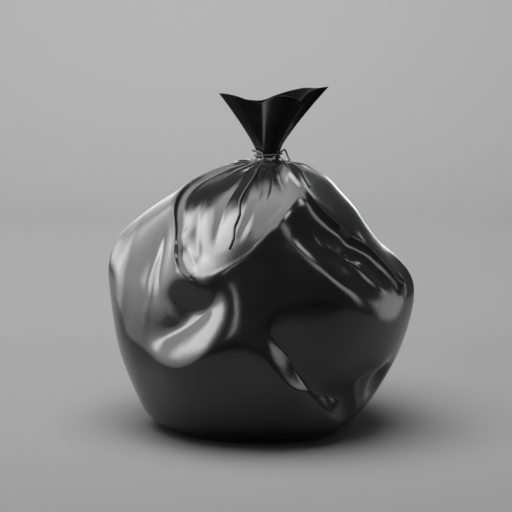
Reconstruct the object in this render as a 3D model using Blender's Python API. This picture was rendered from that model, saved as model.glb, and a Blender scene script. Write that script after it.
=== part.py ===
"""A full bin bag: a black plastic sack stuffed with household waste and tied at the neck.

The sack is one piece of film around what it holds, so it is one solid, flat where it rests.
Above the tie the film flares into an open mouth with a thin wall. The string is one length,
wound twice round the neck, with both ends lying on the shoulder.

Azimuth runs round the neck's axis: 0 at the front (-Y), 90 degrees at the right (+X).
Heights are above the floor. A place on the bag is an azimuth and a way, 0 at the middle of
the base and 1 at the tie.
"""
import math

import bpy
import numpy as np

# Driving dimensions, in metres
MM = 0.001
NECK_HEIGHT = 0.432
NECK_RADIUS = 0.0185
TIE_BOTTOM = 0.427
TIE_TOP = 0.436
NECK_AXIS = (0.0077, 0.0006)
MOUTH_WALL = 0.0012
STRING_DIAMETER = 0.0028

# How finely the bag is lofted
COLUMNS = 80
BODY_ROWS = 42
MOUTH_ROWS = 8
CAVITY_ROWS = 6
CAVITY_BOTTOM = 0.42
AVERAGE_SHARES = (-1 / 3, 0, 1 / 3)

# The filled body without its folds, in mm: height, then reach to the left, front, right and back
LEVELS = [
    (0, 0, 0, 0, 0),
    (0, 70, 62, 55, 62),
    (0, 148, 126, 104, 128),
    (7, 174, 148, 122, 150),
    (24, 194, 170, 141, 172),
    (52, 208, 190, 167, 194),
    (90, 223, 206, 191, 210),
    (132, 235, 217, 211, 222),
    (176, 241, 222, 220, 229),
    (218, 243, 220, 217, 231),
    (256, 240, 211, 199, 226),
    (290, 224, 194, 174, 213),
    (322, 200, 170, 152, 191),
    (350, 171, 143, 133, 162),
    (374, 131, 112, 110, 130),
    (394, 84, 80, 88, 93),
    (409, 48, 49, 54, 54),
    (419, 29, 29, 31, 31),
    (427, 20.5, 20, 20.5, 20.5),
    (432, 18.5, 18.5, 18.5, 18.5),
]
LEVEL_STEPS = 24


def through(points, steps):
    """Catmull-Rom curve through the rows of points, with steps places from each to the next."""
    p = np.asarray(points, float)
    p = np.vstack([2 * p[0] - p[1], p, 2 * p[-1] - p[-2]])
    t = np.linspace(0, 1, steps, endpoint=False)[:, None]
    stretches = []
    for a, b, c, d in zip(p[:-3], p[1:-2], p[2:-1], p[3:]):
        bend = 2 * a - 5 * b + 4 * c - d
        twist = 3 * b - a - 3 * c + d
        stretches.append(0.5 * (2 * b + (c - a) * t + bend * t**2 + twist * t**3))
    return np.vstack(stretches + [p[-2][None]])


LADDER = through(LEVELS, LEVEL_STEPS) * MM
CLIMB = np.hypot(np.diff(LADDER[:, 0]), np.diff(LADDER[:, 1:].mean(axis=1)))
WAY = np.concatenate([[0], np.cumsum(CLIMB)]) / CLIMB.sum()
RISE = np.flatnonzero(LADDER[:, 0] > 0)[0] - 1


def way_at(height):
    """Way up the film at which the plain body reaches a height."""
    return np.interp(height, LADDER[RISE:, 0], WAY[RISE:])


def body(azimuth, way):
    """Places on the plain body. Its reach blends between the four sides as sine and cosine squared."""
    z, left, front, right, back = (np.interp(way, WAY, LADDER[:, k]) for k in range(5))
    s = np.sin(azimuth)
    c = np.cos(azimuth)
    reach = np.where(s < 0, left, right) * s**2 + np.where(c > 0, front, back) * c**2
    return np.stack([reach * s, -reach * c, z], axis=-1)


def unit(v):
    return v / np.maximum(np.linalg.norm(v, axis=-1, keepdims=True), 1e-12)


def directions(azimuth, way):
    """Unit directions round the body, up its film and out of it, from small steps along each."""
    step = 1e-4
    across = body(azimuth + step, way) - body(azimuth - step, way)
    level = np.stack([np.cos(azimuth), np.sin(azimuth), np.zeros_like(azimuth)], axis=-1)
    at_pole = np.linalg.norm(across, axis=-1, keepdims=True) < 1e-9
    across = unit(np.where(at_pole, level, across))
    along = unit(body(azimuth, np.minimum(way + step, 1)) - body(azimuth, np.maximum(way - step, 0)))
    return across, along, unit(np.cross(across, along))


# Folds of the film. Each is a route of (azimuth degrees, height mm, lift mm), then how far its flank
# reaches on the route's left and right in mm, and how round its crest is. A negative lift is a crease.
FOLDS = {
    "pocket_side": ([(-75, 425, 0), (-88, 415, 4), (-87, 403, 8), (-81, 391, 11), (-73, 379, 12),
                     (-65, 364, 13), (-56, 346, 13), (-49, 328, 13), (-44, 308, 13), (-41, 288, 12),
                     (-37, 272, 10), (-32, 261, 4), (-28, 254, 0)], 3, 26, 0.25),
    "pocket_lip": ([(-44, 288, 0), (-36, 277, 6), (-30, 270, 10), (-25, 269, 12), (-20, 274, 14),
                    (-14, 284, 15), (-8, 296, 16), (-3, 311, 16), (2, 325, 16), (7, 340, 16),
                    (13, 355, 14), (18, 369, 11), (22, 386, 6), (27, 406, 2), (42, 422, 0)], 130, 16, 0.3),
    "left_groove": ([(-57, 350, 0), (-54, 335, -5), (-51, 315, -11), (-49, 294, -14), (-48, 272, -13),
                     (-47, 243, -10), (-46, 213, -6), (-46, 185, -4), (-45, 165, -3), (-45, 140, 0)
                    ], 34, 28, 0.2),
    "left_outer": ([(-92, 335, 0), (-81, 319, 3), (-74, 300, 6), (-68, 279, 8), (-66, 252, 8),
                    (-66, 224, 8), (-67, 196, 6), (-68, 165, 0)], 12, 24, 0.35),
    "left_knob": ([(-97, 345, 0), (-93, 312, 9), (-90, 288, 13), (-89, 262, 10), (-88, 225, 5),
                   (-86, 185, 0)], 26, 24, 0.4),
    "belly_crest": ([(-83, 170, 0), (-70, 162, 5), (-61, 153, 9), (-53, 147, 10), (-47, 141, 11),
                     (-43, 133, 13), (-39, 127, 17), (-33, 129, 19), (-28, 140, 18), (-23, 156, 16),
                     (-18, 168, 12), (-13, 172, 8), (-8, 166, 5), (-3, 145, 2), (0, 118, 0)], 44, 50, 0.3),
    "cheek_valley": ([(-52, 158, 0), (-47, 166, -7), (-41, 179, -13), (-35, 192, -17), (-29, 207, -18),
                      (-25, 221, -15), (-22, 234, -8), (-20, 246, 0)], 34, 22, 0.3),
    "valley_line": ([(-2, 212, 0), (0, 194, -7), (3, 177, -12), (6, 162, -16), (9, 146, -17),
                     (12, 125, -16), (16, 106, -12), (20, 92, -10), (26, 83, -14), (32, 77, -13),
                     (39, 68, 0)], 36, 12, 0.3),
    "bulge_line": ([(-5, 220, 0), (-3, 198, 7), (-2, 173, 12), (0, 148, 15), (4, 122, 15), (9, 104, 13),
                    (16, 92, 8), (21, 75, 10), (27, 54, 13), (35, 41, 12), (41, 43, 8), (42, 62, 0)
                   ], 12, 40, 0.4),
    "right_spine": ([(46, 430, 0), (40, 420, 6), (29, 405, 13), (24, 386, 17), (25, 368, 18),
                     (29, 353, 18), (35, 339, 18), (42, 324, 18), (50, 308, 17), (56, 291, 16),
                     (60, 275, 15), (64, 259, 13), (67, 242, 9), (72, 224, 0)], 60, 8, 0.12),
    "right_panel_edge": ([(23, 362, 0), (17, 353, 6), (12, 338, 11), (8, 321, 14), (9, 305, 15),
                          (13, 291, 15), (18, 276, 15), (22, 262, 14), (27, 250, 13), (32, 238, 11),
                          (38, 223, 8), (44, 205, 5), (52, 184, 0)], 24, 30, 1),
    "right_ear": ([(92, 292, 0), (88, 262, 8), (84, 234, 14), (83, 208, 9), (83, 180, 4), (82, 148, 0)
                  ], 24, 24, 0.5),
    "low_right_lip": ([(50, 30, 0), (46, 56, 4), (41, 81, 6), (39, 103, 7), (42, 115, 7), (50, 120, 6),
                       (62, 118, 4), (76, 112, 0)], 9, 9, 0.4),
    "string_pleat": ([(-6, 417, 0), (-12, 399, 4), (-12, 380, 7), (-11, 362, 9), (-11, 348, 9),
                      (-13, 328, 6), (-15, 309, 0)], 40, 20, 0.25),
    "middle_pleat": ([(5, 419, 0), (4, 396, 2), (2, 373, 2), (-2, 352, 2), (-6, 334, 2), (-10, 313, 0)
                     ], 6, 7, 0.2),
    "right_pleat": ([(25, 420, 0), (16, 395, 2), (14, 375, 2), (10, 355, 2), (3, 335, 2), (-2, 317, 1),
                     (-8, 301, 0)], 6, 8, 0.2),
    "back_spine": ([(170, 428, 0), (165, 408, 9), (158, 380, 15), (150, 345, 18), (146, 305, 17),
                    (150, 262, 12), (160, 222, 0)], 40, 20, 0.3),
    "back_left_pleat": ([(-140, 426, 0), (-138, 404, 8), (-132, 372, 13), (-128, 330, 15),
                         (-131, 285, 13), (-138, 240, 8), (-144, 205, 0)], 22, 32, 0.3),
    "back_groove": ([(-160, 380, 0), (-164, 345, -9), (-166, 305, -13), (-161, 262, -12),
                     (-152, 222, -8), (-146, 190, 0)], 16, 16, 0.5),
    "back_lip": ([(118, 330, 0), (126, 300, 9), (138, 282, 13), (152, 280, 13), (166, 292, 10),
                  (176, 312, 0)], 26, 14, 0.5),
    "back_long_valley": ([(182, 232, 0), (172, 205, -9), (164, 172, -13), (158, 138, -12),
                          (150, 105, -9), (140, 78, 0)], 16, 18, 0.5),
    "back_belly_crest": ([(-112, 208, 0), (-122, 184, 9), (-134, 160, 13), (-148, 150, 14),
                          (-162, 162, 12), (-174, 184, 8), (-184, 205, 0)], 40, 22, 0.7),
    "left_low_crease": ([(-98, 168, 0), (-104, 140, -7), (-108, 108, -9), (-104, 78, -7), (-96, 52, 0)
                        ], 14, 14, 0.5),
    "back_right_crease": ([(100, 250, 0), (108, 222, -8), (112, 190, -12), (108, 155, -10), (102, 128, 0)
                          ], 18, 18, 0.5),
    "pocket_groove": ([(-27, 412, 0), (-26, 389, -2), (-27, 369, -3), (-26, 346, -3), (-25, 322, -3),
                       (-24, 300, 0)], 7, 7, 0.4),
    "left_streak": ([(-47, 372, 0), (-42, 352, -1.5), (-38, 334, -2), (-35, 318, -2), (-32, 300, -2),
                     (-30, 288, 0)], 6, 6, 0.4),
}
FOLD_STEPS = 6
JOIN_POWER = 8

# Broad hollows and swells: azimuth degrees, height, half width and half height in mm, turn in degrees,
# lift in mm, and how flat the floor of it is
HOLLOWS = {
    "spine_hollow": (41, 296, 22, 54, -42, -9, 1.2),
    "cheek": (-34, 228, 30, 24, -20, -6, 1.4),
    "front_face": (18, 205, 80, 90, 0, 8, 1.6),
    "low_right": (62, 92, 30, 30, 0, -15, 1.5),
    "back_pocket": (150, 322, 52, 46, 0, -16, 1.5),
    "back_cheek": (-138, 205, 44, 34, 15, -10, 1.4),
    "left_flank": (-118, 300, 46, 60, 0, -8, 1.4),
    "right_flank": (112, 330, 44, 50, 0, -10, 1.4),
}

# Gathers that fan out below the tie
GATHERS = 22
GATHER_SEED = 7
GATHER_HEIGHT = 0.009
GATHER_SHORTEST = 0.03
GATHER_LONGEST = 0.08


def fold_lift(places, out, route, left_reach, right_reach, softness):
    """Lift of one fold. Each stretch of the route gives its crest's lift, dying away exponentially with
    the distance over the flank's reach, and rounded over the crest by the softness. The stretches are
    joined by the root of the sum of their powers, weighted by length, which has no crease between them."""
    curve = through(route, FOLD_STEPS)
    line = body(np.radians(curve[:, 0]), way_at(curve[:, 1] * MM))
    crest = np.abs(curve[:, 2]) * MM
    total = np.zeros(places.shape[:-1])
    for a, b, lift_a, lift_b in zip(line[:-1], line[1:], crest[:-1], crest[1:]):
        run = b - a
        length = max(np.linalg.norm(run), 1e-9)
        share = np.clip((places - a) @ run / length**2, 0, 1)
        off = places - a - share[..., None] * run
        distance = np.linalg.norm(off, axis=-1)
        to_left = (np.cross(run, off) * out).sum(axis=-1) / (length * np.maximum(distance, 1e-9))
        reach = (right_reach + (left_reach - right_reach) * (0.5 + 0.5 * to_left)) * MM
        fall = np.exp(softness - np.sqrt((distance / reach) ** 2 + softness**2))
        total += length / reach * ((lift_a + share * (lift_b - lift_a)) * fall) ** JOIN_POWER
    return math.copysign(1, sum(p[2] for p in route)) * total ** (1 / JOIN_POWER)


def hollow_lift(places, azimuth, height, half_width, half_height, turn, lift, flatness):
    """Lift of one hollow: a bell exp(-d^(2 flatness)), d the distance in half widths and half heights."""
    azimuth = np.array([math.radians(azimuth)])
    way = way_at(np.array([height * MM]))
    centre = body(azimuth, way)[0]
    across, along, out = (v[0] for v in directions(azimuth, way))
    c = math.cos(math.radians(turn))
    s = math.sin(math.radians(turn))
    u = (places - centre) @ (c * across + s * along) / (half_width * MM)
    v = (places - centre) @ (c * along - s * across) / (half_height * MM)
    w = (places - centre) @ out / (1.5 * max(half_width, half_height) * MM)
    return lift * MM * np.exp(-((u**2 + v**2 + w**2) ** flatness))


def gather_lift(azimuth, from_neck):
    """Lift of the gathers: sharp crests round the neck, none at the tie itself, each fading
    as exp(-(distance / its run)^2) down the shoulder."""
    rng = np.random.RandomState(GATHER_SEED)
    places = np.radians((np.arange(GATHERS) + rng.uniform(-0.28, 0.28, GATHERS)) * 360 / GATHERS)
    runs = rng.uniform(GATHER_SHORTEST, GATHER_LONGEST, GATHERS)
    heights = rng.uniform(0.6, 1.0, GATHERS)
    crests = -0.8 * np.exp(-((from_neck / 0.08) ** 2))
    for place, run, height in zip(places, runs, heights):
        apart = np.abs((azimuth - place + math.pi) % (2 * math.pi) - math.pi)
        crests = crests + height * np.exp(-apart * GATHERS / 2.6 - (from_neck / run) ** 2)
    return GATHER_HEIGHT * crests * np.minimum(1, from_neck / 0.035)


def smooth(x):
    x = np.clip(x, 0, 1)
    return x * x * (3 - 2 * x)


def film(azimuth, way):
    """Places on the folded film: the plain body moved out by its folds, hollows and gathers.
    The folds fade out within 30 mm of the floor and 50 mm of the tie."""
    places = body(azimuth, way)
    _, _, out = directions(azimuth, way)
    lift = np.zeros(np.shape(azimuth))
    for fold in FOLDS.values():
        lift += fold_lift(places, out, *fold)
    for hollow in HOLLOWS.values():
        lift += hollow_lift(places, *hollow)
    from_neck = np.linalg.norm(places - (0, 0, NECK_HEIGHT), axis=-1) - NECK_RADIUS
    from_neck = np.maximum(from_neck, 0)
    lift = lift * smooth(places[..., 2] / 0.03) * smooth(from_neck / 0.05)
    lift = lift + gather_lift(azimuth, from_neck)
    return places + out * lift[..., None]


# The mouth above the tie. Its rim, from the middle of the neck in mm (x, y, z), starts at the left tip
# and goes round by the front, the fold behind the front lobe, the right horn and the back.
RIM = [
    (-77, 0, 96), (-66, -9, 96), (-50, -15, 93), (-32, -16, 87), (-13, -14, 82), (-2, -20, 87), (12, -26, 93),
    (27, -29, 94), (41, -26, 90), (53, -18, 81), (54, -12, 79), (46, -7, 79), (43, -3, 80), (50, 0, 84),
    (63, 3, 97), (80, 9, 104), (95, 13, 106), (77, 23, 103), (58, 31, 103), (34, 36, 98), (11, 34, 91),
    (-9, 28, 84), (-31, 20, 85), (-56, 10, 91),
]
RIM_STEPS = 30
RIM_START = -math.pi / 2
FLARE = 1.2


def rim(azimuth):
    """Places on the mouth's rim, spread evenly along it, for columns at these azimuths of the neck."""
    closed = through(RIM[-1:] + RIM + RIM[:2], RIM_STEPS)[RIM_STEPS:-RIM_STEPS] * MM
    length = np.concatenate([[0], np.cumsum(np.linalg.norm(np.diff(closed, axis=0), axis=1))])
    share = (azimuth - RIM_START) / (2 * math.pi) % 1
    return np.stack([np.interp(share * length[-1], length, closed[:, k]) for k in range(3)], axis=-1)


def mouth(azimuth, share):
    """Places on the outside of the mouth, share 0 at the tie and 1 at the rim. It starts at the
    top of the tie, and flares from the neck's circle to the rim as share^FLARE."""
    neck = NECK_RADIUS * np.stack([np.sin(azimuth), -np.cos(azimuth)], axis=-1)
    edge = rim(azimuth)
    flare = np.asarray(share)[..., None] ** FLARE
    flat = neck * (1 - flare) + edge[..., :2] * flare
    height = TIE_TOP + (NECK_HEIGHT + edge[..., 2] - TIE_TOP) * share
    return np.concatenate([flat, height[..., None]], axis=-1)


def rings(surface, azimuth, rows):
    """Rings of a surface of (azimuth, row value), one for each value in rows."""
    around, up = np.meshgrid(azimuth, rows)
    return surface(around, up)


def inside(outer):
    """The wall's inner face: the rings moved in by the wall's thickness along their normals."""
    around = np.roll(outer, -1, axis=1) - np.roll(outer, 1, axis=1)
    return outer - MOUTH_WALL * unit(np.cross(around, np.gradient(outer, axis=0)))


def closed_loft(name, loft, first_pole, last_pole):
    """A closed mesh from rings of equal size and a pole at each end."""
    rows, columns, _ = loft.shape
    places = np.vstack([loft.reshape(-1, 3), first_pole, last_pole])
    row, column = np.meshgrid(np.arange(rows - 1), np.arange(columns), indexing="ij")
    beside = (column + 1) % columns
    quads = np.stack([row * columns + column, row * columns + beside,
                      (row + 1) * columns + beside, (row + 1) * columns + column], axis=-1)
    column = np.arange(columns)
    beside = (column + 1) % columns
    last = (rows - 1) * columns
    pole = rows * columns
    first_fan = [(pole, int(b), int(a)) for a, b in zip(column, beside)]
    last_fan = [(pole + 1, int(last + a), int(last + b)) for a, b in zip(column, beside)]
    mesh = bpy.data.meshes.new(name)
    mesh.from_pydata(places.tolist(), [], quads.reshape(-1, 4).tolist() + first_fan + last_fan)
    return mesh


def film_averaged(azimuth, ways):
    """The film averaged over each cell of the loft, so that a crest thinner than a cell keeps its line.
    The averaging narrows to nothing at the base's edge and at the tie."""
    around, up = np.meshgrid(azimuth, ways)
    cell_round = 2 * math.pi / COLUMNS
    cell_up = ways[1] - ways[0]
    room = np.minimum(1, np.minimum(up - ways[0], ways[-1] - up) / cell_up)
    total = 0
    for aside in AVERAGE_SHARES:
        for above in AVERAGE_SHARES:
            total = total + film(around + aside * cell_round * room, up + above * cell_up * room)
    return total / len(AVERAGE_SHARES) ** 2


def bag_mesh():
    """The sack with its contents: flat base, folded body, flared mouth and the mouth's cavity."""
    azimuth = np.linspace(-math.pi, math.pi, COLUMNS, endpoint=False)
    base_edge = WAY[RISE]
    base = rings(body, azimuth, [base_edge / 2])
    sack = film_averaged(azimuth, np.append(np.linspace(base_edge, way_at(TIE_BOTTOM), BODY_ROWS), 1))
    flared = rings(mouth, azimuth, np.linspace(0, 1, MOUTH_ROWS))
    cavity = inside(rings(mouth, azimuth, np.linspace(CAVITY_BOTTOM, 1, CAVITY_ROWS)))[::-1]
    cavity[0, :, 2] = flared[-1, :, 2]
    bottom = cavity[-1].mean(axis=0)
    return closed_loft("bin_bag", np.concatenate([base, sack, flared, cavity]), (0, 0, 0), bottom)


# The string, one length. Its front end lies down the pocket, and its back end over the right shoulder.
# On the film a place is (azimuth degrees, height mm), and round the neck it is
# (azimuth degrees, distance from the axis mm, height above the tie mm).
FRONT_END = [(-17, 300), (-16, 313), (-16.5, 327), (-15.5, 342), (-17.5, 358), (-17, 371), (-15, 386),
             (-14.5, 400), (-16, 412)]
ROUND_NECK = [
    (-17, 30, -7), (-18, 26.5, -1), (-24, 25.2, 4), (-38, 25, 6.8), (-57, 25, 7.8), (-80, 25, 7.4),
    (-105, 24, 5.6), (-132, 22.4, 3.4), (-160, 21.5, 2.2), (-190, 21.4, 1.8), (-225, 21.4, 1.7),
    (-260, 21.4, 1.7), (-295, 21.4, 1.7), (-330, 21.4, 1.5), (-365, 21.4, 0.9), (-400, 21.4, -0.4),
    (-435, 21.6, -1.4), (-470, 21.8, -1.7), (-505, 21.8, -1.7), (-535, 22, -1.7), (-558, 23.4, -1.2),
    (-576, 24.8, 0.6), (-594, 25, 3.6), (-612, 25, 6.6), (-630, 26, 7.6), (-644, 29, 4.6), (-654, 33, -1),
    (-661, 38.5, -6),
]
BACK_END = [(52, 416), (46, 410), (38, 401), (31.5, 391), (28, 380), (27, 370)]
STRING_POINTS = 78
STAND_OFF = 0.0014


def on_film(route):
    """Places of the string's middle along a route on the film, its own radius and a little more above it."""
    step = 0.004
    curve = through(route, 2)
    azimuth = np.radians(curve[:, 0])
    way = way_at(curve[:, 1] * MM)
    around = film(azimuth + step, way) - film(azimuth - step, way)
    up = film(azimuth, way + step) - film(azimuth, way - step)
    return film(azimuth, way) + unit(np.cross(around, up)) * (STRING_DIAMETER / 2 + STAND_OFF)


def round_neck(route):
    """Places of the string's middle from azimuth, distance and height at the neck."""
    azimuth, distance, height = np.asarray(route, float).T
    azimuth = np.radians(azimuth)
    places = [distance * np.sin(azimuth), -distance * np.cos(azimuth), height + NECK_HEIGHT / MM]
    return np.stack(places, axis=-1) * MM


def string_route():
    """Evenly spaced places along one smooth curve from the front end, twice round the neck, to the back."""
    stops = np.vstack([on_film(FRONT_END), round_neck(ROUND_NECK), on_film(BACK_END)])
    curve = through(stops, 12)
    length = np.concatenate([[0], np.cumsum(np.linalg.norm(np.diff(curve, axis=0), axis=1))])
    even = np.linspace(0, length[-1], STRING_POINTS)
    return np.stack([np.interp(even, length, curve[:, k]) for k in range(3)], axis=-1)


def string_curve():
    """The string as a tube along its route, with closed ends."""
    curve = bpy.data.curves.new("tie_string", "CURVE")
    curve.dimensions = "3D"
    curve.bevel_depth = STRING_DIAMETER / 2
    curve.bevel_resolution = 2
    curve.use_fill_caps = True
    route = string_route()
    spline = curve.splines.new("POLY")
    spline.points.add(len(route) - 1)
    spline.points.foreach_set("co", np.column_stack([route, np.ones(len(route))]).ravel())
    return curve


def finish(name, colour, roughness):
    """A plain material with a colour and a roughness, not metallic."""
    material = bpy.data.materials.new(name)
    material.use_nodes = True
    shader = material.node_tree.nodes["Principled BSDF"]
    shader.inputs["Base Color"].default_value = (*colour, 1)
    shader.inputs["Roughness"].default_value = roughness
    shader.inputs["Metallic"].default_value = 0
    return material


def place(collection, name, data, material):
    """An object of the bag, with the neck's axis at its place in the frame."""
    data.materials.append(material)
    piece = bpy.data.objects.new(name, data)
    piece.location = (*NECK_AXIS, 0)
    collection.objects.link(piece)


def main():
    for old in list(bpy.data.objects):
        bpy.data.objects.remove(old)
    collection = bpy.data.collections.new("full_bin_bag")
    bpy.context.scene.collection.children.link(collection)
    place(collection, "bin_bag", bag_mesh(), finish("black_film", (0.008, 0.008, 0.009), 0.18))
    place(collection, "tie_string", string_curve(), finish("dark_string", (0.012, 0.012, 0.012), 0.45))


if __name__ == "__main__":
    main()
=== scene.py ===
import math

import bpy
import numpy as np
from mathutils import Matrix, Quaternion, Vector


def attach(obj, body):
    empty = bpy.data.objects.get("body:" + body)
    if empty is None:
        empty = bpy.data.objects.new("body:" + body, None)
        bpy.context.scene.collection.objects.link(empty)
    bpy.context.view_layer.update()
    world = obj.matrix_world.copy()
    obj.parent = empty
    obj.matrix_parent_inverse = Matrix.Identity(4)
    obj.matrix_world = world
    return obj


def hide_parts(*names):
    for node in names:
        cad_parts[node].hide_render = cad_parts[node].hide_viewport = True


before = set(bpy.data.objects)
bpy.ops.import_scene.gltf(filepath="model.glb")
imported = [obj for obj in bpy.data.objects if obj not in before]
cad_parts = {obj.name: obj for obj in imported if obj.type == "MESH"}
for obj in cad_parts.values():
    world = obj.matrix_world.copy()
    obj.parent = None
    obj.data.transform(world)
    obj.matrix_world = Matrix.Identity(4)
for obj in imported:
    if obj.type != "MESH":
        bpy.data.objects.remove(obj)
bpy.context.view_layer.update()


# The sack below the tie: one layer of black polythene film, stuffed with household waste.
# It rests flat on the ground, bulges over what it holds, and is drawn up to the tie in folds.
# A place on the film is an azimuth round the neck's axis, 0 at the front and 90 degrees at the
# right, and a way, 0 at the middle of the base and 1 at the tie.
MM = 0.001
NECK_HEIGHT = 0.432
NECK_RADIUS = 0.0185
NECK_AXIS = (0.0077, 0.0006, 0)
SACK_COLUMNS = 440
SACK_ROWS = 222

# The filled body without its folds, in mm: height, then reach to the left, front, right and back
LEVELS = [
    (0, 0, 0, 0, 0),
    (0, 70, 62, 55, 62),
    (0, 148, 126, 104, 128),
    (7, 174, 148, 122, 150),
    (24, 194, 170, 141, 172),
    (52, 208, 190, 167, 194),
    (90, 223, 206, 191, 210),
    (132, 235, 217, 211, 222),
    (176, 241, 222, 220, 229),
    (218, 243, 220, 217, 231),
    (256, 240, 211, 199, 226),
    (290, 224, 194, 174, 213),
    (322, 200, 170, 152, 191),
    (350, 171, 143, 133, 162),
    (374, 131, 112, 110, 130),
    (394, 84, 80, 88, 93),
    (409, 48, 49, 54, 54),
    (419, 29, 29, 31, 31),
    (427, 20.5, 20, 20.5, 20.5),
    (432, 18.5, 18.5, 18.5, 18.5),
]
LEVEL_STEPS = 24


def through(points, steps):
    """Catmull-Rom curve through the rows of points, with steps places from each to the next."""
    p = np.asarray(points, float)
    p = np.vstack([2 * p[0] - p[1], p, 2 * p[-1] - p[-2]])
    t = np.linspace(0, 1, steps, endpoint=False)[:, None]
    stretches = []
    for a, b, c, d in zip(p[:-3], p[1:-2], p[2:-1], p[3:]):
        bend = 2 * a - 5 * b + 4 * c - d
        twist = 3 * b - a - 3 * c + d
        stretches.append(0.5 * (2 * b + (c - a) * t + bend * t**2 + twist * t**3))
    return np.vstack(stretches + [p[-2][None]])


LADDER = through(LEVELS, LEVEL_STEPS) * MM
CLIMB = np.hypot(np.diff(LADDER[:, 0]), np.diff(LADDER[:, 1:].mean(axis=1)))
WAY = np.concatenate([[0], np.cumsum(CLIMB)]) / CLIMB.sum()
RISE = np.flatnonzero(LADDER[:, 0] > 0)[0] - 1


def way_at(height):
    """Way up the film at which the plain body reaches a height."""
    return np.interp(height, LADDER[RISE:, 0], WAY[RISE:])


def body(azimuth, way):
    """Places on the plain body. Its reach blends between the four sides as sine and cosine squared."""
    z, left, front, right, back = (np.interp(way, WAY, LADDER[:, k]) for k in range(5))
    s = np.sin(azimuth)
    c = np.cos(azimuth)
    reach = np.where(s < 0, left, right) * s**2 + np.where(c > 0, front, back) * c**2
    return np.stack([reach * s, -reach * c, z], axis=-1)


def unit(v):
    """The same directions, one unit long."""
    return v / np.maximum(np.linalg.norm(v, axis=-1, keepdims=True), 1e-12)


def directions(azimuth, way):
    """Unit directions round the body, up its film and out of it, from small steps along each."""
    step = 1e-4
    across = body(azimuth + step, way) - body(azimuth - step, way)
    level = np.stack([np.cos(azimuth), np.sin(azimuth), np.zeros_like(azimuth)], axis=-1)
    at_pole = np.linalg.norm(across, axis=-1, keepdims=True) < 1e-9
    across = unit(np.where(at_pole, level, across))
    along = unit(body(azimuth, np.minimum(way + step, 1)) - body(azimuth, np.maximum(way - step, 0)))
    return across, along, unit(np.cross(across, along))


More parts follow.
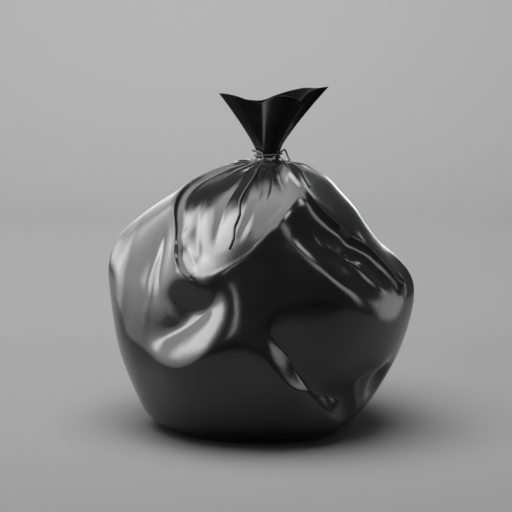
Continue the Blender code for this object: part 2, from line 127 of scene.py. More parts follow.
# Folds of the film. Each is a route of (azimuth degrees, height mm, lift mm), then how far its flank
# reaches on the route's left and right in mm, and how round its crest is. A negative lift is a crease.
FOLDS = {
    "pocket_side": ([(-75, 425, 0), (-88, 415, 4), (-87, 403, 8), (-81, 391, 11), (-73, 379, 12),
                     (-65, 364, 13), (-56, 346, 13), (-49, 328, 13), (-44, 308, 13), (-41, 288, 12),
                     (-37, 272, 10), (-32, 261, 4), (-28, 254, 0)], 3, 26, 0.25),
    "pocket_lip": ([(-44, 288, 0), (-36, 277, 6), (-30, 270, 10), (-25, 269, 12), (-20, 274, 14),
                    (-14, 284, 15), (-8, 296, 16), (-3, 311, 16), (2, 325, 16), (7, 340, 16),
                    (13, 355, 14), (18, 369, 11), (22, 386, 6), (27, 406, 2), (42, 422, 0)], 130, 16, 0.3),
    "left_groove": ([(-57, 350, 0), (-54, 335, -5), (-51, 315, -11), (-49, 294, -14), (-48, 272, -13),
                     (-47, 243, -10), (-46, 213, -6), (-46, 185, -4), (-45, 165, -3), (-45, 140, 0)
                    ], 34, 28, 0.2),
    "left_outer": ([(-92, 335, 0), (-81, 319, 2), (-74, 300, 3), (-68, 279, 4), (-66, 252, 4),
                    (-66, 224, 4), (-67, 196, 3), (-68, 165, 0)], 10, 40, 0.35),
    "left_knob": ([(-97, 345, 0), (-93, 312, 9), (-90, 288, 13), (-89, 262, 10), (-88, 225, 5),
                   (-86, 185, 0)], 26, 24, 0.4),
    "belly_crest": ([(-83, 170, 0), (-70, 162, 5), (-61, 153, 9), (-53, 147, 10), (-47, 141, 11),
                     (-43, 133, 13), (-39, 127, 17), (-33, 129, 19), (-28, 140, 18), (-23, 156, 16),
                     (-18, 168, 12), (-13, 172, 8), (-8, 166, 5), (-3, 145, 2), (0, 118, 0)], 44, 50, 0.3),
    "cheek_valley": ([(-52, 158, 0), (-47, 166, -7), (-41, 179, -13), (-35, 192, -17), (-29, 207, -18),
                      (-25, 221, -15), (-22, 234, -8), (-20, 246, 0)], 34, 22, 0.3),
    "valley_line": ([(-2, 212, 0), (0, 194, -7), (3, 177, -12), (6, 162, -16), (9, 146, -17),
                     (12, 125, -16), (16, 106, -12), (20, 92, -10), (26, 83, -14), (32, 77, -13),
                     (39, 68, 0)], 36, 12, 0.3),
    "bulge_line": ([(-5, 220, 0), (-3, 198, 7), (-2, 173, 12), (0, 148, 15), (4, 122, 15), (9, 104, 13),
                    (16, 92, 8), (21, 75, 10), (27, 54, 13), (35, 41, 12), (41, 43, 8), (42, 62, 0)
                   ], 12, 40, 0.4),
    "right_spine": ([(46, 430, 0), (33, 420, 7), (22, 405, 15), (19.5, 392, 18), (20, 379, 19),
                     (22.5, 364, 18), (26.5, 352, 17), (32, 340, 16), (39.5, 325, 15), (47.5, 310, 14),
                     (53.5, 293, 14), (58, 275, 13), (62, 259, 12), (66, 242, 9), (71, 224, 0)
                    ], 60, 4.5, 0.12),
    "right_panel_edge": ([(23, 362, 0), (17, 353, 6), (12, 338, 11), (8, 321, 14), (9, 305, 15),
                          (13, 291, 15), (18, 276, 15), (22, 262, 14), (27, 250, 13), (32, 238, 11),
                          (38, 223, 8), (44, 205, 5), (52, 184, 0)], 24, 30, 1),
    "right_ear": ([(92, 292, 0), (88, 262, 8), (84, 234, 14), (83, 208, 9), (83, 180, 4), (82, 148, 0)
                  ], 24, 24, 0.5),
    "low_right_lip": ([(50, 30, 0), (46, 56, 4), (41, 81, 6), (39, 103, 7), (42, 115, 7), (50, 120, 6),
                       (62, 118, 4), (76, 112, 0)], 9, 9, 0.4),
    "string_pleat": ([(-6, 417, 0), (-12, 399, 4), (-12, 380, 7), (-11, 362, 9), (-11, 348, 9),
                      (-13, 328, 6), (-15, 309, 0)], 40, 20, 0.25),
    "middle_pleat": ([(5, 419, 0), (4, 396, 2), (2, 373, 2), (-2, 352, 2), (-6, 334, 2), (-10, 313, 0)
                     ], 6, 7, 0.2),
    "right_pleat": ([(25, 420, 0), (16, 395, 2), (14, 375, 2), (10, 355, 2), (3, 335, 2), (-2, 317, 1),
                     (-8, 301, 0)], 6, 8, 0.2),
    "back_spine": ([(170, 428, 0), (165, 408, 9), (158, 380, 15), (150, 345, 18), (146, 305, 17),
                    (150, 262, 12), (160, 222, 0)], 40, 20, 0.3),
    "back_left_pleat": ([(-140, 426, 0), (-138, 404, 8), (-132, 372, 13), (-128, 330, 15),
                         (-131, 285, 13), (-138, 240, 8), (-144, 205, 0)], 22, 32, 0.3),
    "back_groove": ([(-160, 380, 0), (-164, 345, -9), (-166, 305, -13), (-161, 262, -12),
                     (-152, 222, -8), (-146, 190, 0)], 16, 16, 0.5),
    "back_lip": ([(118, 330, 0), (126, 300, 9), (138, 282, 13), (152, 280, 13), (166, 292, 10),
                  (176, 312, 0)], 26, 14, 0.5),
    "back_long_valley": ([(182, 232, 0), (172, 205, -9), (164, 172, -13), (158, 138, -12),
                          (150, 105, -9), (140, 78, 0)], 16, 18, 0.5),
    "back_belly_crest": ([(-112, 208, 0), (-122, 184, 9), (-134, 160, 13), (-148, 150, 14),
                          (-162, 162, 12), (-174, 184, 8), (-184, 205, 0)], 40, 22, 0.7),
    "left_low_crease": ([(-98, 168, 0), (-104, 140, -7), (-108, 108, -9), (-104, 78, -7), (-96, 52, 0)
                        ], 14, 14, 0.5),
    "back_right_crease": ([(100, 250, 0), (108, 222, -8), (112, 190, -12), (108, 155, -10), (102, 128, 0)
                          ], 18, 18, 0.5),
    "pocket_groove": ([(-27, 412, 0), (-26, 389, -2), (-27, 369, -3), (-26, 346, -3), (-25, 322, -3),
                       (-24, 300, 0)], 7, 7, 0.4),
    "left_streak": ([(-47, 372, 0), (-42, 352, -1.5), (-38, 334, -2), (-35, 318, -2), (-32, 300, -2),
                     (-30, 288, 0)], 6, 6, 0.4),
    "left_crease": ([(-55.5, 326, 0), (-53.5, 306, 1.2), (-52, 282, 2), (-51.5, 254, 2), (-51.5, 225, 2),
                     (-52.5, 191, 1.5), (-52.5, 157, 0)], 3, 3, 0.3),
    "streak_a": ([(-39, 306, 0), (-35.5, 296, -1.4), (-32, 285, -1.4), (-29.5, 276, 0)], 4, 4, 0.4),
    "pleat_a": ([(-20, 418, 0), (-7, 378, -2), (-8.5, 346, -2.2), (-11.5, 325, -2), (-13.5, 307, 0)
                ], 5, 5, 0.3),
    "pleat_b": ([(1.5, 418, 0), (0, 373, -1.8), (-3, 348, -2), (-6, 333, -1), (-8, 324, 0)], 4, 5, 0.3),
    "pleat_c": ([(18, 420, 0), (10, 391, -1.8), (9.5, 367, -2.2), (7.5, 352, -2), (2.5, 338, -1.5),
                 (-2, 325, -1), (-6.5, 309, 0)], 4, 5, 0.3),
    "lens_edge": ([(21.5, 335, 0), (23, 317, 1.5), (26.5, 301, 2.5), (34.5, 289, 4), (40, 275, 4.5),
                   (44, 259, 4.5), (50.5, 243, 3.5), (57, 230, 0)], 9, 5, 0.3),
}
# A route is cut into FOLD_STEPS stretches from each place to the next, or more on a narrow fold:
# FINE_STEPS over its shorter reach in mm. A fold ends FOLD_END reaches from its route.
FOLD_STEPS = 6
FINE_STEPS = 80
FOLD_END = 8
JOIN_POWER = 8

# Broad hollows and swells: azimuth degrees, height, half width and half height in mm, turn in degrees,
# lift in mm, and how flat the floor of it is
HOLLOWS = {
    "spine_hollow": (40, 300, 20, 50, -42, -8, 1),
    "cheek": (-34, 228, 30, 24, -20, -6, 1.4),
    "front_face": (18, 205, 80, 90, 0, 8, 1.6),
    "low_right": (62, 92, 30, 30, 0, -15, 1.5),
    "back_pocket": (150, 322, 52, 46, 0, -16, 1.5),
    "back_cheek": (-138, 205, 44, 34, 15, -10, 1.4),
    "left_flank": (-118, 300, 46, 60, 0, -8, 1.4),
    "right_flank": (112, 330, 44, 50, 0, -10, 1.4),
    "left_swell": (-41, 316, 12, 20, 0, 3, 1),
    "ear_knob": (69, 235, 12, 13, 0, 6, 1.2),
}
HOLLOW_THROUGH = 1.5

# Gathers that fan out below the tie: how far each is off its even place, the least share of the full
# height, how wide the crests are, and where they begin. They stand in a dip round the neck.
GATHERS = 22
GATHER_SEED = 7
GATHER_HEIGHT = 0.0045
GATHER_SHORTEST = 0.03
GATHER_LONGEST = 0.08
GATHER_OFF_PLACE = 0.28
GATHER_LOWEST = 0.6
GATHER_WIDTH = 2.6
GATHER_START = 0.035
NECK_DIP = 0.8
NECK_DIP_REACH = 0.08

# How far from the floor and from the tie the folds have their full lift
FLOOR_FADE = 0.03
TIE_FADE = 0.05


def fold_lift(places, out, route, left_reach, right_reach, softness):
    """Lift of one fold. Each short stretch of the route gives its crest's lift, dying away exponentially
    with the distance over the flank's reach, and rounded over the crest by the softness. The stretches
    are joined by the root of the sum of their powers, weighted by twice their length over the reach,
    which has no crease and keeps the crest close to its own lift."""
    narrow = min(left_reach, right_reach)
    curve = through(route, max(FOLD_STEPS, math.ceil(FINE_STEPS / narrow)))
    line = body(np.radians(curve[:, 0]), way_at(curve[:, 1] * MM))
    crest = np.abs(curve[:, 2]) * MM
    margin = FOLD_END * max(left_reach, right_reach) * MM
    near = ((places > line.min(axis=0) - margin) & (places < line.max(axis=0) + margin)).all(axis=-1)
    beside, outward = places[near], out[near]
    total = np.zeros(len(beside))
    for a, b, lift in zip(line[:-1], line[1:], (crest[:-1] + crest[1:]) / 2):
        length = max(np.linalg.norm(b - a), 1e-9)
        off = beside - (a + b) / 2
        distance = np.linalg.norm(off, axis=-1)
        to_left = (np.cross(b - a, off) * outward).sum(axis=-1) / (length * np.maximum(distance, 1e-9))
        reach = (right_reach + (left_reach - right_reach) * (0.5 + 0.5 * to_left)) * MM
        fall = np.exp(softness - np.sqrt((distance / reach) ** 2 + softness**2))
        total += 2 * length / reach * (lift * fall) ** JOIN_POWER
    height = np.zeros(places.shape[:-1])
    height[near] = math.copysign(1, sum(p[2] for p in route)) * total ** (1 / JOIN_POWER)
    return height


def hollow_lift(places, azimuth, height, half_width, half_height, turn, lift, flatness):
    """Lift of one hollow: a bell exp(-d^(2 flatness)), d the distance in half widths and half heights,
    and through the film in HOLLOW_THROUGH times the larger of the two."""
    azimuth = np.array([math.radians(azimuth)])
    way = way_at(np.array([height * MM]))
    centre = body(azimuth, way)[0]
    across, along, out = (v[0] for v in directions(azimuth, way))
    c = math.cos(math.radians(turn))
    s = math.sin(math.radians(turn))
    u = (places - centre) @ (c * across + s * along) / (half_width * MM)
    v = (places - centre) @ (c * along - s * across) / (half_height * MM)
    w = (places - centre) @ out / (HOLLOW_THROUGH * max(half_width, half_height) * MM)
    return lift * MM * np.exp(-((u**2 + v**2 + w**2) ** flatness))


def gather_lift(azimuth, from_neck):
    """Lift of the gathers: sharp crests round the neck, none at the tie itself, each fading
    as exp(-(distance / its run)^2) down the shoulder."""
    rng = np.random.RandomState(GATHER_SEED)
    off_place = rng.uniform(-GATHER_OFF_PLACE, GATHER_OFF_PLACE, GATHERS)
    places = np.radians((np.arange(GATHERS) + off_place) * 360 / GATHERS)
    runs = rng.uniform(GATHER_SHORTEST, GATHER_LONGEST, GATHERS)
    heights = rng.uniform(GATHER_LOWEST, 1.0, GATHERS)
    crests = -NECK_DIP * np.exp(-((from_neck / NECK_DIP_REACH) ** 2))
    for place, run, height in zip(places, runs, heights):
        apart = np.abs((azimuth - place + math.pi) % (2 * math.pi) - math.pi)
        crests = crests + height * np.exp(-apart * GATHERS / GATHER_WIDTH - (from_neck / run) ** 2)
    return GATHER_HEIGHT * crests * np.minimum(1, from_neck / GATHER_START)


def smooth(x):
    """A rise from 0 to 1 with level ends: 3 x^2 - 2 x^3, x kept between 0 and 1."""
    x = np.clip(x, 0, 1)
    return x * x * (3 - 2 * x)


def film(azimuth, way):
    """Places on the folded film: the plain body moved out by its folds, hollows and gathers.
    The folds and hollows fade out towards the floor and the tie."""
    places = body(azimuth, way)
    _, _, out = directions(azimuth, way)
    lift = np.zeros(np.shape(azimuth))
    for fold in FOLDS.values():
        lift += fold_lift(places, out, *fold)
    for hollow in HOLLOWS.values():
        lift += hollow_lift(places, *hollow)
    from_neck = np.linalg.norm(places - (0, 0, NECK_HEIGHT), axis=-1) - NECK_RADIUS
    from_neck = np.maximum(from_neck, 0)
    lift = lift * smooth(places[..., 2] / FLOOR_FADE) * smooth(from_neck / TIE_FADE)
    lift = lift + gather_lift(azimuth, from_neck)
    return places + out * lift[..., None]


def rings(surface, azimuth, rows):
    """Rings of a surface of (azimuth, row value), one for each value in rows."""
    around = np.broadcast_to(azimuth, (len(rows), np.shape(azimuth)[-1]))
    return surface(around, np.broadcast_to(np.reshape(rows, (-1, 1)), around.shape))


# Sharp folds that the columns crowd to: how wide the crowd is, in degrees, and how dense at the crest
CROWDS = {"pocket_side": (5, 3), "right_spine": (5, 4), "valley_line": (8, 2)}
CROWD_SAMPLES = 3001


def crowded(columns, rows):
    """Azimuth of each column in each row. Column k of n stands where the running sum of
    1 + dense exp(-(azimuth from the crest / width)^2) over the crests reaches k / n of the whole."""
    fine = np.linspace(-math.pi, math.pi, CROWD_SAMPLES)
    density = np.ones((len(rows), len(fine)))
    for name, (width, dense) in CROWDS.items():
        curve = through(FOLDS[name][0], FOLD_STEPS)[::-1]
        crest = np.radians(np.interp(rows, way_at(curve[:, 1] * MM), curve[:, 0]))
        density += dense * np.exp(-(((fine - crest[:, None]) / math.radians(width)) ** 2))
    total = np.cumsum(density[:, 1:] + density[:, :-1], axis=1)
    total = np.concatenate([np.zeros((len(rows), 1)), total], axis=1) / total[:, -1:]
    share = np.arange(columns) / columns
    return np.stack([np.interp(share, row, fine) for row in total])


# What the UV map counts as once round a piece, in metres
ONCE_ROUND = 1.4


def closed_rows(grid):
    """Quads between the rows of a grid of places whose columns run once round and close."""
    rows, columns = grid.shape[:2]
    row, column = np.meshgrid(np.arange(rows - 1), np.arange(columns), indexing="ij")
    beside = (column + 1) % columns
    corners = [row * columns + column, row * columns + beside,
               (row + 1) * columns + beside, (row + 1) * columns + column]
    return np.stack(corners, axis=-1).reshape(-1, 4)


def piece_from(name, grid, pole=None):
    """An object from a grid of places, closed round, with a fan to a pole under its first row.
    Its UV map "film" holds the share of the way round times ONCE_ROUND, and the distance up the grid
    in metres."""
    rows, columns, _ = grid.shape
    places = grid.reshape(-1, 3) + NECK_AXIS
    faces = closed_rows(grid).tolist()
    if pole is not None:
        places = np.vstack([places, np.add(pole, NECK_AXIS)])
        column = np.arange(columns)
        middle = np.full(columns, rows * columns)
        faces += np.stack([middle, (column + 1) % columns, column], axis=-1).tolist()
    mesh = bpy.data.meshes.new(name)
    mesh.from_pydata(places.tolist(), [], faces)
    mesh.shade_smooth()
    up = np.linalg.norm(np.diff(grid, axis=0), axis=-1).mean(axis=1)
    up = np.concatenate([[0], np.cumsum(up)])
    corner = np.empty(len(mesh.loops), np.int32)
    mesh.loops.foreach_get("vertex_index", corner)
    column = corner % columns
    # A quad's second and third corners are a column on, so past the last column they count as columns
    a_column_on = np.tile([False, True, True, False], len(mesh.loops) // 4 + 1)[:len(corner)]
    column[a_column_on & (column == 0)] = columns
    row = np.minimum(corner // columns, rows - 1)
    uv = mesh.uv_layers.new(name="film")
    uv.uv.foreach_set("vector", np.column_stack([column / columns * ONCE_ROUND, up[row]]).ravel())
    piece = bpy.data.objects.new(name, mesh)
    bpy.context.scene.collection.objects.link(piece)
    return piece


sack_rows = np.linspace(WAY[RISE], 1, SACK_ROWS)
sack = piece_from("sack", rings(film, crowded(SACK_COLUMNS, sack_rows), sack_rows), pole=(0, 0, 0))


def polythene(name, shine):
    """Black polythene film: near-black, glossy, a little cloudier where it was handled and creased,
    with draw lines along its length and a fine crinkle. The shine is its specular level."""
    material = bpy.data.materials.new(name)
    material.use_nodes = True
    nodes = material.node_tree.nodes
    link = material.node_tree.links.new
    shader = nodes["Principled BSDF"]
    shader.inputs["IOR"].default_value = 1.5
    shader.inputs["Specular IOR Level"].default_value = shine
    place = nodes.new("ShaderNodeTexCoord")
    cut = nodes.new("ShaderNodeUVMap")
    cut.uv_map = "film"

    clouds = nodes.new("ShaderNodeTexNoise")
    clouds.inputs["Scale"].default_value = 14
    clouds.inputs["Detail"].default_value = 5
    link(place.outputs["Object"], clouds.inputs["Vector"])
    tint = nodes.new("ShaderNodeValToRGB")
    tint.color_ramp.elements[0].position = 0.35
    tint.color_ramp.elements[0].color = (0.003, 0.003, 0.0033, 1)
    tint.color_ramp.elements[1].position = 0.7
    tint.color_ramp.elements[1].color = (0.006, 0.006, 0.0064, 1)
    link(clouds.outputs["Fac"], tint.inputs["Fac"])
    link(tint.outputs["Color"], shader.inputs["Base Color"])

    gloss = nodes.new("ShaderNodeMapRange")
    gloss.inputs["From Min"].default_value = 0.3
    gloss.inputs["From Max"].default_value = 0.75
    gloss.inputs["To Min"].default_value = 0.12
    gloss.inputs["To Max"].default_value = 0.2
    link(clouds.outputs["Fac"], gloss.inputs["Value"])
    link(gloss.outputs["Result"], shader.inputs["Roughness"])

    stretch = nodes.new("ShaderNodeMapping")
    stretch.inputs["Scale"].default_value = (900, 14, 1)
    link(cut.outputs["UV"], stretch.inputs["Vector"])
    draw_lines = nodes.new("ShaderNodeTexNoise")
    draw_lines.inputs["Scale"].default_value = 1
    draw_lines.inputs["Detail"].default_value = 3
    link(stretch.outputs["Vector"], draw_lines.inputs["Vector"])
    crinkle = nodes.new("ShaderNodeTexNoise")
    crinkle.inputs["Scale"].default_value = 60
    crinkle.inputs["Detail"].default_value = 6
    crinkle.inputs["Roughness"].default_value = 0.55
    link(place.outputs["Object"], crinkle.inputs["Vector"])
    fine = nodes.new("ShaderNodeBump")
    fine.inputs["Strength"].default_value = 0.05
    fine.inputs["Distance"].default_value = 0.0004
    link(draw_lines.outputs["Fac"], fine.inputs["Height"])
    coarse = nodes.new("ShaderNodeBump")
    coarse.inputs["Strength"].default_value = 0.12
    coarse.inputs["Distance"].default_value = 0.0015
    link(crinkle.outputs["Fac"], coarse.inputs["Height"])
    link(fine.outputs["Normal"], coarse.inputs["Normal"])
    link(coarse.outputs["Normal"], shader.inputs["Normal"])
    return material


sack.data.materials.append(polythene("black_polythene", 0.68))
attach(sack, "root")
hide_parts("bin_bag")


# The mouth of the sack, above the tie: the same film, flared into an open tuft with two lobes,
# its cut edge left free. It has one thin wall all round.
TIE_TOP = 0.436
MOUTH_WALL = 0.0006
MOUTH_COLUMNS = 480
MOUTH_ROWS = 110
CAVITY_BOTTOM = 0.12
# The rim, from the middle of the neck in mm (x, y, z). It starts at the left tip and goes round by the
# front, the fold behind the front lobe, the right horn and the back.
RIM = [
    (-77, 0, 96), (-66, -9, 96), (-50, -15, 93), (-32, -16, 87), (-13, -14, 82), (-2, -20, 87), (12, -26, 93),
    (27, -29, 94), (41, -26, 90), (53, -18, 81), (54, -12, 79), (46, -7, 79), (43, -3, 80), (50, 0, 84),
    (63, 3, 97), (80, 9, 104), (95, 13, 106), (77, 23, 103), (58, 31, 103), (34, 36, 98), (11, 34, 91),
    (-9, 28, 84), (-31, 20, 85), (-56, 10, 91),
]
RIM_STEPS = 30
RIM_START = -math.pi / 2
FLARE = 1.2


def rim(azimuth):
    """Places on the mouth's rim, spread evenly along it, for columns at these azimuths of the neck."""
    closed = through(RIM[-1:] + RIM + RIM[:2], RIM_STEPS)[RIM_STEPS:-RIM_STEPS] * MM
    length = np.concatenate([[0], np.cumsum(np.linalg.norm(np.diff(closed, axis=0), axis=1))])
    share = (azimuth - RIM_START) / (2 * math.pi) % 1
    return np.stack([np.interp(share * length[-1], length, closed[:, k]) for k in range(3)], axis=-1)


def mouth(azimuth, share):
    """Places on the outside of the mouth, share 0 at the tie and 1 at the rim. It starts at the
    top of the tie, and flares from the neck's circle to the rim as share^FLARE."""
    neck = NECK_RADIUS * np.stack([np.sin(azimuth), -np.cos(azimuth)], axis=-1)
    edge = rim(azimuth)
    flare = np.asarray(share)[..., None] ** FLARE
    flat = neck * (1 - flare) + edge[..., :2] * flare
    height = TIE_TOP + (NECK_HEIGHT + edge[..., 2] - TIE_TOP) * share
    return np.concatenate([flat, height[..., None]], axis=-1)


def inside(outer):
    """The wall's inner face: the rings moved in by the wall's thickness along their normals."""
    around = np.roll(outer, -1, axis=1) - np.roll(outer, 1, axis=1)
    return outer - MOUTH_WALL * unit(np.cross(around, np.gradient(outer, axis=0)))


azimuth = np.linspace(-math.pi, math.pi, MOUTH_COLUMNS, endpoint=False)
outer = np.concatenate([rings(film, azimuth, [1]), rings(mouth, azimuth, np.linspace(0, 1, MOUTH_ROWS))])
cavity = inside(rings(mouth, azimuth, np.linspace(CAVITY_BOTTOM, 1, MOUTH_ROWS // 2)))[::-1]
wall = np.concatenate([outer, cavity])[::-1, ::-1]
tuft = piece_from("sack_mouth", wall, pole=cavity[-1].mean(axis=0))
# The mouth's film is a shaded copy of the sack's: its specular level is cut so that it mirrors much less,
# painted shade that keeps the mouth dark
tuft.data.materials.append(polythene("shaded_mouth_polythene", 0.1))
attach(tuft, "root")
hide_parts("bin_bag")


# The string that ties the sack: one length of thin black cord of three twisted strands, wound twice
# round the neck and pulled tight. One end lies down the front, and the other over the right shoulder.
# On the film a place is (azimuth degrees, height mm), and round the neck it is
# (azimuth degrees, distance from the axis mm, height above the tie mm).
STRING_DIAMETER = 0.0028
STAND_OFF = 0.0004
FRONT_END = [(-17, 300), (-16, 313), (-16.5, 327), (-15.5, 342), (-17.5, 358), (-17, 371), (-15, 386),
             (-14.5, 400), (-16, 412)]
ROUND_NECK = [
    (-17, 30, -7), (-18, 26.5, -1), (-24, 25.2, 4), (-38, 25, 6.8), (-57, 25, 7.8), (-80, 25, 7.4),
    (-105, 24, 5.6), (-132, 22.4, 3.4), (-160, 21.5, 2.2), (-190, 21.4, 1.8), (-225, 21.4, 1.7),
    (-260, 21.4, 1.7), (-295, 21.4, 1.7), (-330, 21.4, 1.5), (-365, 21.4, 0.9), (-400, 21.4, -0.4),
    (-435, 21.6, -1.4), (-470, 21.8, -1.7), (-505, 21.8, -1.7), (-535, 22, -1.7), (-558, 23.4, -1.2),
    (-576, 24.8, 0.6), (-594, 25, 3.6), (-612, 25, 6.6), (-630, 26, 7.6), (-644, 29, 4.6), (-654, 33, -1),
    (-661, 38.5, -6),
]
BACK_END = [(52, 416), (46, 410), (38, 401), (31.5, 391), (28, 380), (27, 370)]
END_STEPS = 2
ROUTE_STEPS = 12


def on_film(route):
    """Places of the string's middle along a route on the film, its own radius and a little more above it."""
    step = 0.004
    curve = through(route, END_STEPS)
    azimuth = np.radians(curve[:, 0])
    way = way_at(curve[:, 1] * MM)
    around = film(azimuth + step, way) - film(azimuth - step, way)
    up = film(azimuth, way + step) - film(azimuth, way - step)
    return film(azimuth, way) + unit(np.cross(around, up)) * (STRING_DIAMETER / 2 + STAND_OFF)


def round_neck(route):
    """Places of the string's middle from azimuth, distance and height at the neck."""
    azimuth, distance, height = np.asarray(route, float).T
    azimuth = np.radians(azimuth)
    places = [distance * np.sin(azimuth), -distance * np.cos(azimuth), height + NECK_HEIGHT / MM]
    return np.stack(places, axis=-1) * MM


def string_route(places):
    """Evenly spaced places along one smooth curve from the front end, twice round the neck, to the back."""
    stops = np.vstack([on_film(FRONT_END), round_neck(ROUND_NECK), on_film(BACK_END)])
    curve = through(stops, ROUTE_STEPS)
    length = np.concatenate([[0], np.cumsum(np.linalg.norm(np.diff(curve, axis=0), axis=1))])
    even = np.linspace(0, length[-1], places)
    return np.stack([np.interp(even, length, curve[:, k]) for k in range(3)], axis=-1)


STRANDS = 3
TWIST_PITCH = 0.009
STRAND_DEPTH = 0.16
AROUND_STRING = 24
ALONG_STRING = 1500


def twisted(route, radius):
    """A tube along the route whose radius dips between its strands, by cosine, turning once in each
    pitch. Its rings stand square to the route, and each turns on from the last without a twist."""
    along = unit(np.gradient(route, axis=0))
    first = unit(np.cross(along[0], (0, 0, 1)))
    sides = [first]
    for ahead in along[1:]:
        sides.append(unit(sides[-1] - ahead * (sides[-1] @ ahead)))
    side = np.array(sides)
    rise = np.cross(along, side)
    length = np.concatenate([[0], np.cumsum(np.linalg.norm(np.diff(route, axis=0), axis=1))])
    angle = np.linspace(0, 2 * math.pi, AROUND_STRING, endpoint=False)
    turn = length[:, None] * 2 * math.pi / TWIST_PITCH
    dip = 0.5 - 0.5 * np.cos(STRANDS * (angle[None] - turn))
    reach = radius * (1 - STRAND_DEPTH * dip)[..., None]
    ring = side[:, None] * np.cos(angle)[None, :, None] + rise[:, None] * np.sin(angle)[None, :, None]
    return route[:, None] + ring * reach


route = string_route(ALONG_STRING)
tube = twisted(route, STRING_DIAMETER / 2)
far_cap = np.repeat(route[-1:, None], AROUND_STRING, axis=1)
string = piece_from("string", np.concatenate([tube, far_cap]), pole=route[0])


def cord_finish():
    """Black waxed cord: dull black strands with a slight sheen, and fibres that run round with the twist."""
    material = bpy.data.materials.new("black_cord")
    material.use_nodes = True
    nodes = material.node_tree.nodes
    link = material.node_tree.links.new
    shader = nodes["Principled BSDF"]
    shader.inputs["Roughness"].default_value = 0.42
    shader.inputs["Specular IOR Level"].default_value = 0.6
    cut = nodes.new("ShaderNodeUVMap")
    cut.uv_map = "film"
    stretch = nodes.new("ShaderNodeMapping")
    stretch.inputs["Scale"].default_value = (60, 900, 1)
    link(cut.outputs["UV"], stretch.inputs["Vector"])
    fibres = nodes.new("ShaderNodeTexNoise")
    fibres.inputs["Scale"].default_value = 1
    fibres.inputs["Detail"].default_value = 4
    link(stretch.outputs["Vector"], fibres.inputs["Vector"])
    tint = nodes.new("ShaderNodeValToRGB")
    tint.color_ramp.elements[0].color = (0.008, 0.008, 0.008, 1)
    tint.color_ramp.elements[1].color = (0.022, 0.022, 0.023, 1)
    link(fibres.outputs["Fac"], tint.inputs["Fac"])
    link(tint.outputs["Color"], shader.inputs["Base Color"])
    relief = nodes.new("ShaderNodeBump")
    relief.inputs["Strength"].default_value = 0.3
    relief.inputs["Distance"].default_value = 0.0002
    link(fibres.outputs["Fac"], relief.inputs["Height"])
    link(relief.outputs["Normal"], shader.inputs["Normal"])
    return material


string.data.materials.append(cord_finish())
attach(string, "root")
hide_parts("tie_string")


# The camera: a long lens 3 m in front of the sack and a little higher than its tuft, looking
# slightly down on it.
CAMERA_PLACE = (-0.01156, -3.00727, 0.72052)
CAMERA_TILT = 81.5
CAMERA_LENS = 135
camera = bpy.data.objects.new("camera", bpy.data.cameras.new("camera"))
camera.data.lens = CAMERA_LENS
camera.location = CAMERA_PLACE
camera.rotation_euler = (math.radians(CAMERA_TILT), 0, 0)
bpy.context.scene.collection.objects.link(camera)
bpy.context.scene.camera = camera
bpy.context.scene.view_settings.view_transform = "Standard"


# The studio: a pale grey floor that sweeps up into the backdrop, and large soft lamps.
# The sweep's grey gets lighter from front to back as painted shade and light: dark in front, out of view,
# where the sack mirrors it, and lighter further back, where the paper's lamp gives less light.
SWEEP_HALF_WIDTH = 1.25
SWEEP_FRONT = -2.6
SWEEP_BEND = 2.6
SWEEP_RADIUS = 1.8
SWEEP_TOP = 1.9
BEND_PLACES = 16
# How light the paper is painted from front to back: distance in metres, grey. The dark grey in front, out of
# view, is painted shade for the sack to mirror, and the rise further back is painted light that makes up for
# the paper lamp's fall-off.
PAINTED_PAPER_SHADES = [(-1.2, 0.05), (-0.85, 0.10), (-0.6, 0.345), (0.6, 0.39), (1.6, 0.50), (2.6, 0.65),
                (3.3, 0.75), (4.0, 0.85)]


def sweep_mesh():
    """A sheet across the sweep's profile: flat, then a quarter circle, then straight up."""
    bend = np.linspace(0, math.pi / 2, BEND_PLACES)
    y = np.concatenate([[SWEEP_FRONT], SWEEP_BEND + SWEEP_RADIUS * np.sin(bend), [SWEEP_BEND + SWEEP_RADIUS]])
    z = np.concatenate([[0], SWEEP_RADIUS - SWEEP_RADIUS * np.cos(bend), [SWEEP_TOP]])
    left = np.column_stack([np.full(len(y), -SWEEP_HALF_WIDTH), y, z])
    right = left * (-1, 1, 1)
    row = np.arange(len(y) - 1)
    faces = np.column_stack([row, row + len(y), row + len(y) + 1, row + 1])
    mesh = bpy.data.meshes.new("sweep")
    mesh.from_pydata(np.vstack([left, right]).tolist(), [], faces.tolist())
    mesh.shade_smooth()
    return mesh


def sweep_finish():
    """Matt grey paper, its grey going straight from each of the shades to the next, which hold painted light
    and shade.
    """
    material = bpy.data.materials.new("sweep_paper")
    material.use_nodes = True
    nodes = material.node_tree.nodes
    link = material.node_tree.links.new
    shader = nodes["Principled BSDF"]
    shader.inputs["Roughness"].default_value = 0.95
    shader.inputs["Specular IOR Level"].default_value = 0
    place = nodes.new("ShaderNodeTexCoord")
    parts = nodes.new("ShaderNodeSeparateXYZ")
    shade = nodes.new("ShaderNodeValToRGB")
    reach = nodes.new("ShaderNodeMapRange")
    reach.inputs["From Min"].default_value = PAINTED_PAPER_SHADES[0][0]
    reach.inputs["From Max"].default_value = PAINTED_PAPER_SHADES[-1][0]
    span = PAINTED_PAPER_SHADES[-1][0] - PAINTED_PAPER_SHADES[0][0]
    while len(shade.color_ramp.elements) < len(PAINTED_PAPER_SHADES):
        shade.color_ramp.elements.new(0.5)
    # The stops paint light and shade into the paper's grey
    for stop, (y, grey) in zip(shade.color_ramp.elements, PAINTED_PAPER_SHADES):
        stop.position = (y - PAINTED_PAPER_SHADES[0][0]) / span
        stop.color = (grey, grey, grey, 1)
    link(place.outputs["Object"], parts.inputs["Vector"])
    link(parts.outputs["Y"], reach.inputs["Value"])
    link(reach.outputs["Result"], shade.inputs["Fac"])
    link(shade.outputs["Color"], shader.inputs["Base Color"])
    return material


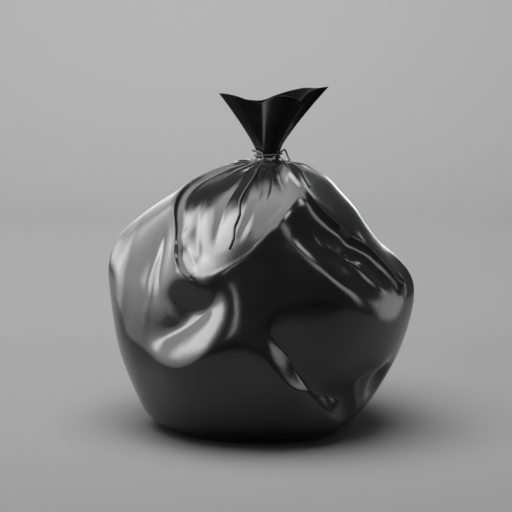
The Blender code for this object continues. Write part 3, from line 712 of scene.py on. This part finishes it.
sweep = bpy.data.objects.new("sweep", sweep_mesh())
sweep.data.materials.append(sweep_finish())
bpy.context.scene.collection.objects.link(sweep)

world = bpy.data.worlds.new("studio")
world.use_nodes = True
world.node_tree.nodes["Background"].inputs["Color"].default_value = (0.10, 0.10, 0.10, 1)
bpy.context.scene.world = world


def fade_at_edges(light):
    """A soft box's cloth is dimmer towards its frame: its glow falls off over the outer part of each side."""
    light.use_nodes = True
    nodes = light.node_tree.nodes
    link = light.node_tree.links.new
    place = nodes.new("ShaderNodeNewGeometry")
    parts = nodes.new("ShaderNodeSeparateXYZ")
    link(place.outputs["Parametric"], parts.inputs["Vector"])
    glow = nodes.new("ShaderNodeMath")
    glow.operation = "MULTIPLY"
    for k, side in enumerate(("X", "Y")):
        away = nodes.new("ShaderNodeMath")
        away.operation = "PINGPONG"
        away.inputs[1].default_value = 0.5
        fade = nodes.new("ShaderNodeMapRange")
        fade.interpolation_type = "SMOOTHSTEP"
        fade.inputs["From Min"].default_value = -0.04
        fade.inputs["From Max"].default_value = 0.22
        link(parts.outputs[side], away.inputs[0])
        link(away.outputs["Value"], fade.inputs["Value"])
        link(fade.outputs["Result"], glow.inputs[k])
    link(glow.outputs["Value"], nodes["Emission"].inputs["Strength"])


# Each lamp: where it stands, what it faces, its width and height, and how bright it looks
LAMPS = {
    "paper_lamp": ((-0.45, 0.0, 3.0), (0, 1.5, 0), 3.4, 3.4, 4.6),
    "left_wall": ((-1.05, 0.08, 0.85), (0, 0.08, 0.85), 2.46, 1.9, 2.7),
    "left_back_panel": ((-1.30, 2.59, 0.85), (-0.1, -0.1, 0.3), 2.4, 1.66, 1.2),
    "left_softbox": ((-1.2, -0.52, 0.74), (0, 0, 0.3), 0.88, 1.05, 6.5),
    "upper_left_softbox": ((-0.72, -0.10, 1.05), (-0.09, -0.14, 0.33), 0.98, 0.58, 6.0),
    "overhead_panel": ((-0.10, -0.24, 1.45), (-0.10, -0.23, 0.33), 1.35, 2.0, 3.2),
    "lip_strip": ((0.585, -0.25, 1.18), (0.02, -0.15, 0.36), 0.30, 0.36, 6.0),
    "front_strip": ((-0.8, -1.42, 0.8), (0, 0, 0.5), 0.15, 0.9, 3.8),
    "ear_patch": ((0.81, 0.24, 0.18), (0.2, -0.1, 0.2), 0.28, 0.28, 1.3),
    "crest_strip": ((1.53, 2.08, 1.86), (0.1, -0.12, 0.38), 1.2, 0.26, 4.2),
    "right_strip": ((0.925, -0.391, 0.70), (0.12, -0.13, 0.27), 0.27, 1.45, 2.4),
    "back_strip": ((1.1, 3.6, 0.65), (0.2, 0, 0.3), 0.45, 1.5, 2.6),
    "back_top_strip": ((0.0, 3.6, 0.98), (0, 0, 0.4), 1.8, 0.5, 1.4),
}
# Lamps that lean in their own plane, in degrees
LEANS = {"right_strip": 38}
# The paper has a lamp of its own, which lights nothing else, and the other lamps leave it out
paper_alone = bpy.data.collections.new("paper_alone")
paper_alone.objects.link(sweep)
all_but_paper = bpy.data.collections.new("all_but_paper")
all_but_paper.objects.link(sweep)
all_but_paper.collection_objects[0].light_linking.link_state = "EXCLUDE"
for name, (stands, faces, width, height, brightness) in LAMPS.items():
    light = bpy.data.lights.new(name, "AREA")
    light.shape = "RECTANGLE"
    light.size = width
    light.size_y = height
    light.energy = brightness * math.pi * width * height
    fade_at_edges(light)
    lamp = bpy.data.objects.new(name, light)
    lamp.location = stands
    facing = (Vector(faces) - Vector(stands)).to_track_quat("-Z", "Y")
    lean = Quaternion((0, 0, 1), math.radians(LEANS.get(name, 0)))
    lamp.rotation_euler = (facing @ lean).to_euler()
    bpy.context.scene.collection.objects.link(lamp)
    lamp.light_linking.receiver_collection = paper_alone if name == "paper_lamp" else all_but_paper
